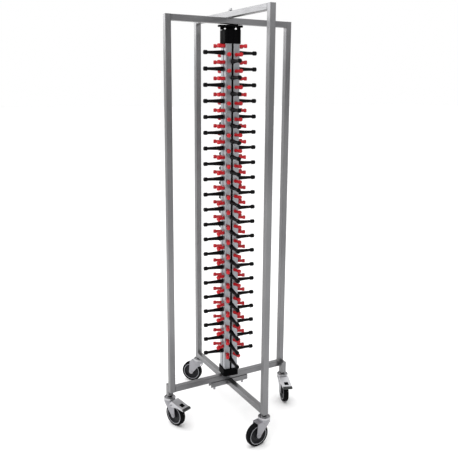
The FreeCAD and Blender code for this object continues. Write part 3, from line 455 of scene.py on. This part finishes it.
# Dome nut on top: a hexagon with a chamfer, and a dome
HEXAGON = 6
FRAME_TOP = 1.780
WASHER = 0.001
NUT_RADIUS = 0.0079
NUT_STRAIGHT = 0.0072
NUT_SHARES = ((0.0, 0.9), (0.12, 1.0), (0.86, 1.0), (1.0, 0.88))
DOME_RADIUS = 0.0062
DOME_HEIGHT = 0.0076
DOME_FOOT = NUT_STRAIGHT * 0.9
DOME_STEPS = 8
DOME_SIDES = 32
nut_foot = AXIS + UP * (FRAME_TOP + WASHER)
dome_profile = [(DOME_FOOT, 0.0), (DOME_FOOT, DOME_RADIUS)]
for step in range(DOME_STEPS):
    angle = math.pi / 2 * step / DOME_STEPS
    dome_profile.append((NUT_STRAIGHT + DOME_HEIGHT * math.sin(angle), DOME_RADIUS * math.cos(angle)))
dome_profile.append((NUT_STRAIGHT + DOME_HEIGHT, 0.0))
nut_mesh = bmesh.new()
add_lathe(nut_mesh, closed_profile(NUT_SHARES, NUT_STRAIGHT, NUT_RADIUS), nut_foot, UP, HEXAGON)
add_lathe(nut_mesh, dome_profile, nut_foot, UP, DOME_SIDES)
nut = new_piece("dome_nut", nut_mesh, "inner_frame", "bright_steel", looks["bright"])
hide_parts("top_dome_nut")

# Lock screws under the cross support: hexagon head, washer face and plain shank
LOCK_REACH = 0.073
LOCK_LOW = 0.1158
LOCK_LENGTH = 0.0357
LOCK_RADIUS = 0.003
LOCK_SIDES = 24
LOCK_EDGE = 0.0002
LOCK_EDGE_STEPS = 2
LOCK_HEAD = 0.0056
LOCK_HEAD_HEIGHT = 0.0135
LOCK_HEAD_SHARES = ((0.0, 0.85), (0.15, 0.98), (1.0, 0.98))
LOCK_FACE_LOW = LOCK_HEAD_HEIGHT * 0.98
LOCK_FACE_HIGH = LOCK_HEAD_HEIGHT * 1.19
lock_head_profile = closed_profile(LOCK_HEAD_SHARES, LOCK_HEAD_HEIGHT, LOCK_HEAD)
lock_shank_profile = rounded([
    (LOCK_FACE_LOW, 0.0),
    (LOCK_FACE_LOW, LOCK_HEAD),
    (LOCK_FACE_HIGH, LOCK_HEAD),
    (LOCK_FACE_HIGH, LOCK_RADIUS),
    (LOCK_LENGTH, LOCK_RADIUS),
    (LOCK_LENGTH, 0.0),
], LOCK_EDGE, LOCK_EDGE_STEPS)
lock_mesh = bmesh.new()
for side in (-1, 1):
    foot = AXIS + ALONG_X * side * LOCK_REACH + UP * LOCK_LOW
    add_lathe(lock_mesh, lock_head_profile, foot, UP, HEXAGON)
    add_lathe(lock_mesh, lock_shank_profile, foot, UP, LOCK_SIDES)
locks = new_piece("lock_screw_pair", lock_mesh, "outer_frame", "zinc_steel", looks["zinc"])
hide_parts("lock_screws")

# Weld seams in the inside corners of both frames
TUBE = 0.025
OUTER_UPRIGHT = 0.3135
INNER_UPRIGHT = 0.283
OUTER_CORNERS = (0.155, FRAME_TOP - TUBE)
INNER_CORNERS = (0.156, 0.181, 1.729)
BEAD_RADIUS = 0.0019
BEAD_HALF = 0.0108
BEAD_SIDES = 10
BEAD_RIPPLES = 9
BEAD_STEPS = 4 * BEAD_RIPPLES
RIPPLE_SHARE = 0.18
bead_profile = [(-BEAD_HALF, 0.0)]
for step in range(BEAD_STEPS + 1):
    share = step / BEAD_STEPS
    swell = 1 - RIPPLE_SHARE + RIPPLE_SHARE * abs(math.sin(math.pi * BEAD_RIPPLES * share))
    bead_profile.append((BEAD_HALF * (2 * share - 1), BEAD_RADIUS * swell))
bead_profile.append((BEAD_HALF, 0.0))
outer_beads = bmesh.new()
inner_beads = bmesh.new()
for side in (-1, 1):
    for height in OUTER_CORNERS:
        corner = AXIS + ALONG_Y * side * (OUTER_UPRIGHT - TUBE / 2) + UP * height
        add_lathe(outer_beads, bead_profile, corner, ALONG_X, BEAD_SIDES)
    for height in INNER_CORNERS:
        corner = AXIS + ALONG_X * side * (INNER_UPRIGHT - TUBE / 2) + UP * height
        add_lathe(inner_beads, bead_profile, corner, ALONG_Y, BEAD_SIDES)
new_piece("welds_outer", outer_beads, "outer_frame", "stainless_tube", looks["weld"])
new_piece("welds_inner", inner_beads, "inner_frame", "stainless_tube", looks["weld"])

# Swivel head of a caster: pin with a riveted head, and a cup with a groove, a rim, a recess and a boss
TURN_STEPS = 64
RACE_GAP_TOP = 0.1134
CUP_TOP = 0.1214
CUP_RADIUS = 0.02598
CUP_RIM = 0.003
CUP_RECESS = 0.004
RECESS_FLOOR = CUP_TOP - CUP_RECESS
RECESS_TAPER = 0.0012
GROOVE_LOW = CUP_TOP - 0.0052
GROOVE_MIDDLE = CUP_TOP - 0.0046
GROOVE_HIGH = CUP_TOP - 0.0040
GROOVE_DEPTH = 0.0005
BOSS_RADIUS = 0.012
BOSS_TOP = 0.1224
PIN_RADIUS = 0.006
PIN_HEAD = 0.009
PIN_HEAD_TOP = 0.1036
PIN_HEAD_LOW = PIN_HEAD_TOP - 0.0026
HEAD_EDGE = 0.0014
# Faces of the cup's recess inside this radius and above this height take the painted shade
RECESS_SHADE_RADIUS = CUP_RADIUS - CUP_RIM * 0.6
RECESS_SHADE_LOW = CUP_TOP - CUP_RECESS * 1.1
head_profile = rounded([
    (PIN_HEAD_LOW, 0.0),
    (PIN_HEAD_LOW, PIN_HEAD),
    (PIN_HEAD_TOP, PIN_HEAD),
    (PIN_HEAD_TOP, PIN_RADIUS),
    (RACE_GAP_TOP, PIN_RADIUS),
    (RACE_GAP_TOP, CUP_RADIUS),
    (GROOVE_LOW, CUP_RADIUS),
    (GROOVE_MIDDLE, CUP_RADIUS - GROOVE_DEPTH),
    (GROOVE_HIGH, CUP_RADIUS),
    (CUP_TOP, CUP_RADIUS),
    (CUP_TOP, CUP_RADIUS - CUP_RIM),
    (RECESS_FLOOR, CUP_RADIUS - CUP_RIM - RECESS_TAPER),
    (RECESS_FLOOR, BOSS_RADIUS),
    (BOSS_TOP, BOSS_RADIUS),
    (BOSS_TOP, 0.0),
], HEAD_EDGE)

# Tyre with a fine line in its side wall and round shoulders
WHEEL_RADIUS = 0.050
TYRE_INNER = 0.040
TYRE_HALF = 0.012
TYRE_EDGE = 0.0004
TYRE_EDGE_END = TYRE_INNER + 0.0016
SIDE_LINE_START = TYRE_INNER + 0.0034
SIDE_LINE_MIDDLE = TYRE_INNER + 0.0040
SIDE_LINE_END = TYRE_INNER + 0.0046
SIDE_LINE_DEPTH = 0.0007
SHOULDER = 0.0050
SHOULDER_STEPS = 8
half_tyre = [
    (TYRE_HALF - TYRE_EDGE, TYRE_INNER),
    (TYRE_HALF, TYRE_EDGE_END),
    (TYRE_HALF, SIDE_LINE_START),
    (TYRE_HALF - SIDE_LINE_DEPTH, SIDE_LINE_MIDDLE),
    (TYRE_HALF, SIDE_LINE_END),
]
for step in range(SHOULDER_STEPS + 1):
    angle = math.pi / 2 * step / SHOULDER_STEPS
    half_tyre.append((
        TYRE_HALF - SHOULDER * (1 - math.cos(angle)),
        WHEEL_RADIUS - SHOULDER * (1 - math.sin(angle)),
    ))
tyre_profile = both_halves(half_tyre)

# Wheel disc: hub, thin web with a step, rim and rim lip
HUB_HALF = 0.015
HUB_BORE = 0.00505
HUB_RADIUS = 0.0150
HUB_FOOT_HALF = 0.0062
HUB_FOOT_RADIUS = 0.0162
WEB_HALF = 0.0050
WEB_START = 0.0200
STEP_HALF = 0.0056
STEP_RADIUS = 0.0268
STEP_END = 0.0274
WEB_END = 0.0325
RIM_HALF = 0.0100
RIM_START = 0.0348
RIM_END = 0.0380
RIM_LIP_HALF = 0.0118
RIM_LIP_START = 0.0382
DISC_EDGE = 0.0008
DISC_EDGE_STEPS = 3
core_profile = both_halves(rounded([
    (HUB_HALF, HUB_BORE),
    (HUB_HALF, HUB_RADIUS),
    (HUB_FOOT_HALF, HUB_FOOT_RADIUS),
    (WEB_HALF, WEB_START),
    (STEP_HALF, STEP_RADIUS),
    (WEB_HALF, STEP_END),
    (WEB_HALF, WEB_END),
    (RIM_HALF, RIM_START),
    (RIM_HALF, RIM_END),
    (RIM_LIP_HALF, RIM_LIP_START),
    (RIM_LIP_HALF, TYRE_INNER),
], DISC_EDGE, DISC_EDGE_STEPS))

# Light ring on each side of the rim
RING_PLACE = 0.0117
RING_RISE = 0.0007
RING_MIDDLE = 0.0389
RING_HALF = 0.0015
RING_STEPS = 12
ring_profile = []
for step in range(RING_STEPS + 1):
    angle = 2 * math.pi * step / RING_STEPS
    ring_profile.append((RING_PLACE + RING_RISE * math.cos(angle), RING_MIDDLE + RING_HALF * math.sin(angle)))

# Axle with a chamfered rivet head on each side of the fork
FORK_HALF = 0.0185
AXLE_RADIUS = 0.005
AXLE_SIDES = 32
AXLE_HEAD = 0.0065
AXLE_HEAD_TOP = AXLE_HEAD * 0.6
AXLE_END = FORK_HALF + 0.002
AXLE_CHAMFER = FORK_HALF + 0.001
AXLE_EDGE = 0.0005
AXLE_EDGE_STEPS = 3
half_axle = [
    (AXLE_END, 0.0),
    (AXLE_END, AXLE_HEAD_TOP),
    (AXLE_CHAMFER, AXLE_HEAD),
    (FORK_HALF, AXLE_HEAD),
    (FORK_HALF, AXLE_RADIUS),
]
axle_profile = rounded(mirrored(half_axle) + half_axle[::-1], AXLE_EDGE, AXLE_EDGE_STEPS)

for name in CASTERS:
    head_mesh = bmesh.new()
    add_lathe(head_mesh, head_profile, SWIVEL[name], UP, TURN_STEPS)
    # Recess faces get the painted shade; the rest of the head gets the brighter copy of the zinc, which is
    # painted light
    for face in head_mesh.faces:
        middle = face.calc_center_median()
        if (middle - SWIVEL[name]).xy.length < RECESS_SHADE_RADIUS and middle.z > RECESS_SHADE_LOW:
            face.material_index = 1
    head_looks = (looks["zinc_painted_light"], looks["recess_painted_shade"])
    head = new_piece("swivel_head_" + name, head_mesh, FRAME_OF[name], "zinc_steel", *head_looks)
    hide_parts("swivel_pin_" + name)
    tyre_mesh = bmesh.new()
    add_lathe(tyre_mesh, tyre_profile, WHEEL[name], SPIN[name], TURN_STEPS)
    tyre = new_piece("tread_" + name, tyre_mesh, "wheel_" + name, "tyre_rubber", looks["rubber"])
    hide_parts("tyre_" + name)
    core_mesh = bmesh.new()
    add_lathe(core_mesh, core_profile, WHEEL[name], SPIN[name], TURN_STEPS)
    core = new_piece("disc_" + name, core_mesh, "wheel_" + name, "wheel_plastic", looks["wheel_grey"])
    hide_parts("wheel_core_" + name)
    ring_mesh = bmesh.new()
    add_lathe(ring_mesh, ring_profile, WHEEL[name], SPIN[name], TURN_STEPS)
    add_lathe(ring_mesh, mirrored(ring_profile), WHEEL[name], SPIN[name], TURN_STEPS)
    new_piece("rim_ring_" + name, ring_mesh, "wheel_" + name, "wheel_plastic", looks["ring_grey"])
    axle_mesh = bmesh.new()
    add_lathe(axle_mesh, axle_profile, WHEEL[name], SPIN[name], AXLE_SIDES)
    axle = new_piece("axle_rivet_" + name, axle_mesh, "caster_" + name, "zinc_steel", looks["zinc"])
    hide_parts("axle_" + name)

# Brake pedals: the line of the plate's top, as reach from the swivel and height over the floor
PEDAL_START = Vector((0.030, 0.117))
PEDAL_TIP = Vector((0.106, 0.099))
PEDAL_SLOPE = (PEDAL_TIP.y - PEDAL_START.y) / (PEDAL_TIP.x - PEDAL_START.x)


def plate_height(reach):
    return PEDAL_TIP.y + PEDAL_SLOPE * (reach - PEDAL_TIP.x)


def pedal_point(name, reach, across, height):
    """A point of the pedal of one caster."""
    ahead = TRAIL[name]
    return SWIVEL[name] + ahead * reach + UP.cross(ahead) * across + UP * height


# Rubber lip round the tip of each pedal, with ridges on top
LIP_BACK = 0.0085
LIP_OVER = 0.0010
LIP_UNDER = 0.0078
LIP_HALF = 0.0219
LIP_RIDGES = 3
LIP_STEPS = 4 * LIP_RIDGES
RIDGE_HEIGHT = 0.0006
LIP_FRONT = PEDAL_TIP.x + 0.0016
LIP_NOSE = PEDAL_TIP.y - 0.0008
LIP_LOW = PEDAL_TIP.y - LIP_UNDER
LIP_CHAMFER = 0.0012
LIP_FOOT_BACK = PEDAL_TIP.x - 0.0026
LIP_INNER = Vector((PEDAL_TIP.x - 0.0034, PEDAL_TIP.y - 0.0030))
LIP_MIDDLE = Vector((PEDAL_TIP.x - LIP_BACK * 0.4, PEDAL_TIP.y - 0.002))
LIP_BACK_HEIGHT = PEDAL_TIP.y + 0.0008 - PEDAL_SLOPE * LIP_BACK * 0.4
LIP_EDGE = 0.001
LIP_END_SHARE = 0.9
LIP_LAYERS = (
    (-LIP_HALF, LIP_END_SHARE),
    (-LIP_HALF + LIP_EDGE, 1.0),
    (LIP_HALF - LIP_EDGE, 1.0),
    (LIP_HALF, LIP_END_SHARE),
)
lip_section = []
for step in range(LIP_STEPS + 1):
    share = step / LIP_STEPS
    reach = PEDAL_TIP.x - LIP_BACK * (1 - share)
    ridge = RIDGE_HEIGHT * abs(math.sin(math.pi * LIP_RIDGES * share))
    lip_section.append(Vector((reach, plate_height(reach) + LIP_OVER + ridge)))
lip_section += [
    Vector((LIP_FRONT, LIP_NOSE)),
    Vector((LIP_FRONT, LIP_LOW + LIP_CHAMFER)),
    Vector((LIP_FRONT - LIP_CHAMFER, LIP_LOW)),
    Vector((LIP_FOOT_BACK, LIP_LOW)),
    LIP_INNER,
    Vector((PEDAL_TIP.x - LIP_BACK, LIP_BACK_HEIGHT)),
]
for name in BRAKED:
    lip_loops = []
    for across, share in LIP_LAYERS:
        section = [LIP_MIDDLE + (point - LIP_MIDDLE) * share for point in lip_section]
        lip_loops.append([pedal_point(name, point.x, across, point.y) for point in section])
    lip_mesh = bmesh.new()
    add_skin(lip_mesh, lip_loops)
    new_piece("pedal_lip_" + name, lip_mesh, "brake_" + name, "black_plastic", looks["lip_grey"])

# Dark sheet filling the open slot of each pedal: painted shade, standing in for the shade and the black tyre
# seen through the slot. Layers of lift over the plate and share of the outline
SLOT_SHADE_BACK = 0.0670
SLOT_SHADE_FRONT = 0.0862
SLOT_SHADE_MIDDLE = (SLOT_SHADE_BACK + SLOT_SHADE_FRONT) / 2
SLOT_SHADE_HALF_LENGTH = (SLOT_SHADE_FRONT - SLOT_SHADE_BACK) / 2
SLOT_SHADE_HALF_WIDTH = 0.0096
SLOT_SHADE_CORNER = 0.0022
SLOT_SHADE_LAYERS = ((-0.0030, 0.90), (-0.0030, 1.0), (0.0004, 1.0), (0.0007, 0.95), (0.0001, 0.80))
CORNER_STEPS = 5
CORNERS = ((1, 1), (-1, 1), (-1, -1), (1, -1))
slot_shade_outline = []
for quarter, (end, side) in enumerate(CORNERS):
    for step in range(CORNER_STEPS + 1):
        angle = math.pi / 2 * (quarter + step / CORNER_STEPS)
        along = end * (SLOT_SHADE_HALF_LENGTH - SLOT_SHADE_CORNER) + SLOT_SHADE_CORNER * math.cos(angle)
        across = side * (SLOT_SHADE_HALF_WIDTH - SLOT_SHADE_CORNER) + SLOT_SHADE_CORNER * math.sin(angle)
        slot_shade_outline.append((along, across))
for name in BRAKED:
    slot_shade_loops = []
    for lift, share in SLOT_SHADE_LAYERS:
        loop = []
        for along, across in slot_shade_outline:
            reach = SLOT_SHADE_MIDDLE + along * share
            loop.append(pedal_point(name, reach, across * share, plate_height(reach) + lift))
        slot_shade_loops.append(loop)
    slot_shade_mesh = bmesh.new()
    add_skin(slot_shade_mesh, slot_shade_loops)
    new_piece("pedal_slot_shade_" + name, slot_shade_mesh, "brake_" + name, "black_plastic", looks["slot_painted_shade"])

# Floor
FLOOR_HALF = 40.0
FLOOR_DROP = 0.0005
FLOOR_COLOUR = (0.90, 0.90, 0.90)
FLOOR_ROUGHNESS = 0.9
FLOOR_GLOSS = 0.1
FLOOR_CORNERS = ((-1, -1), (1, -1), (1, 1), (-1, 1))


def build_floor():
    """A wide pale floor just under the wheels."""
    mesh = bpy.data.meshes.new("floor")
    points = [(along * FLOOR_HALF, across * FLOOR_HALF, -FLOOR_DROP) for along, across in FLOOR_CORNERS]
    mesh.from_pydata(points, [], [(0, 1, 2, 3)])
    floor = bpy.data.objects.new("floor", mesh)
    bpy.context.scene.collection.objects.link(floor)
    material, _, shader = new_material("pale_floor", FLOOR_COLOUR, 0.0, FLOOR_ROUGHNESS)
    shader.inputs["Specular IOR Level"].default_value = FLOOR_GLOSS
    paint(floor, material)


# Camera
CAMERA_AZIMUTH = math.radians(28.725)
CAMERA_DISTANCE = 2.59845
CAMERA_HEIGHT = 1.47373
CAMERA_PITCH = math.radians(11.094)
CAMERA_ROLL = math.radians(0.440)
CAMERA_YAW = math.radians(0.543)
SENSOR_WIDTH = 36.0
FOCAL_PIXELS = 605.45
PHOTO_PIXELS = 458.0
SHIFT_X = -0.0131
SHIFT_Y = -0.05


def build_camera():
    """The camera, turned by its heading, pitch and roll."""
    data = bpy.data.cameras.new("camera")
    camera = bpy.data.objects.new("camera", data)
    bpy.context.scene.collection.objects.link(camera)
    bpy.context.scene.camera = camera
    data.sensor_width = SENSOR_WIDTH
    data.lens = SENSOR_WIDTH * FOCAL_PIXELS / PHOTO_PIXELS
    data.shift_x = SHIFT_X
    data.shift_y = SHIFT_Y
    heading = CAMERA_AZIMUTH + CAMERA_YAW
    forward = Vector((
        math.sin(heading) * math.cos(CAMERA_PITCH),
        math.cos(heading) * math.cos(CAMERA_PITCH),
        -math.sin(CAMERA_PITCH),
    ))
    right = forward.cross(UP).normalized()
    up = right.cross(forward)
    rolled_right = right * math.cos(CAMERA_ROLL) + up * math.sin(CAMERA_ROLL)
    rolled_up = up * math.cos(CAMERA_ROLL) - right * math.sin(CAMERA_ROLL)
    turn = Matrix((rolled_right, rolled_up, -forward)).transposed()
    camera.matrix_world = turn.to_4x4()
    camera.location = (
        AXIS.x - math.sin(CAMERA_AZIMUTH) * CAMERA_DISTANCE,
        AXIS.y - math.cos(CAMERA_AZIMUTH) * CAMERA_DISTANCE,
        CAMERA_HEIGHT,
    )


# Light: soft boxes by place, size in metres and power in watts
LIGHT_TARGET = Vector((0.0, 0.0, 0.9))
SOFT_BOXES = {
    "key": (Vector((-2.6, -2.2, 3.2)), 2.2, 45.0),
    "fill": (Vector((1.6, -2.7, 2.7)), 1.6, 11.0),
    "back": (Vector((-1.6, 3.0, 2.9)), 2.2, 46.0),
}
OVERHEAD_STRENGTH = 1.5
OVERHEAD_ANGLE = math.radians(50)
WHITE = (1.0, 1.0, 1.0, 1.0)
SHADE_SIDE = Vector((0.55, -0.83, -0.05))
SHADE_START = -0.2
SHADE_END = 0.9
SURROUND_STRENGTH = 1.0
SHADE_STRENGTH = 0.20


def build_surround():
    """A white surround, whose light on the part is dimmer from the front right."""
    world = bpy.data.worlds.new("studio")
    bpy.context.scene.world = world
    world.use_nodes = True
    tree = world.node_tree
    background = tree.nodes["Background"]
    background.inputs["Color"].default_value = WHITE
    place = tree.nodes.new("ShaderNodeTexCoord")
    side = tree.nodes.new("ShaderNodeVectorMath")
    side.operation = "DOT_PRODUCT"
    side.inputs[1].default_value = SHADE_SIDE.normalized()
    spread = tree.nodes.new("ShaderNodeMapRange")
    spread.inputs["From Min"].default_value = SHADE_START
    spread.inputs["From Max"].default_value = SHADE_END
    spread.inputs["To Min"].default_value = SURROUND_STRENGTH
    spread.inputs["To Max"].default_value = SHADE_STRENGTH
    ray = tree.nodes.new("ShaderNodeLightPath")
    brighter = tree.nodes.new("ShaderNodeMath")
    brighter.operation = "MAXIMUM"
    tree.links.new(place.outputs["Generated"], side.inputs[0])
    tree.links.new(side.outputs["Value"], spread.inputs["Value"])
    tree.links.new(spread.outputs["Result"], brighter.inputs[0])
    tree.links.new(ray.outputs["Is Camera Ray"], brighter.inputs[1])
    tree.links.new(brighter.outputs["Value"], background.inputs["Strength"])


def build_lights():
    """Three soft boxes and an even light from above."""
    for name, (place, size, power) in SOFT_BOXES.items():
        data = bpy.data.lights.new(name, "AREA")
        data.size = size
        data.energy = power
        light = bpy.data.objects.new(name, data)
        bpy.context.scene.collection.objects.link(light)
        light.location = place
        light.rotation_euler = (LIGHT_TARGET - place).to_track_quat("-Z", "Y").to_euler()
    overhead = bpy.data.lights.new("overhead", "SUN")
    overhead.energy = OVERHEAD_STRENGTH
    overhead.angle = OVERHEAD_ANGLE
    bpy.context.scene.collection.objects.link(bpy.data.objects.new("overhead", overhead))


build_floor()
build_camera()
build_surround()
build_lights()
bpy.context.scene.view_settings.view_transform = "Standard"
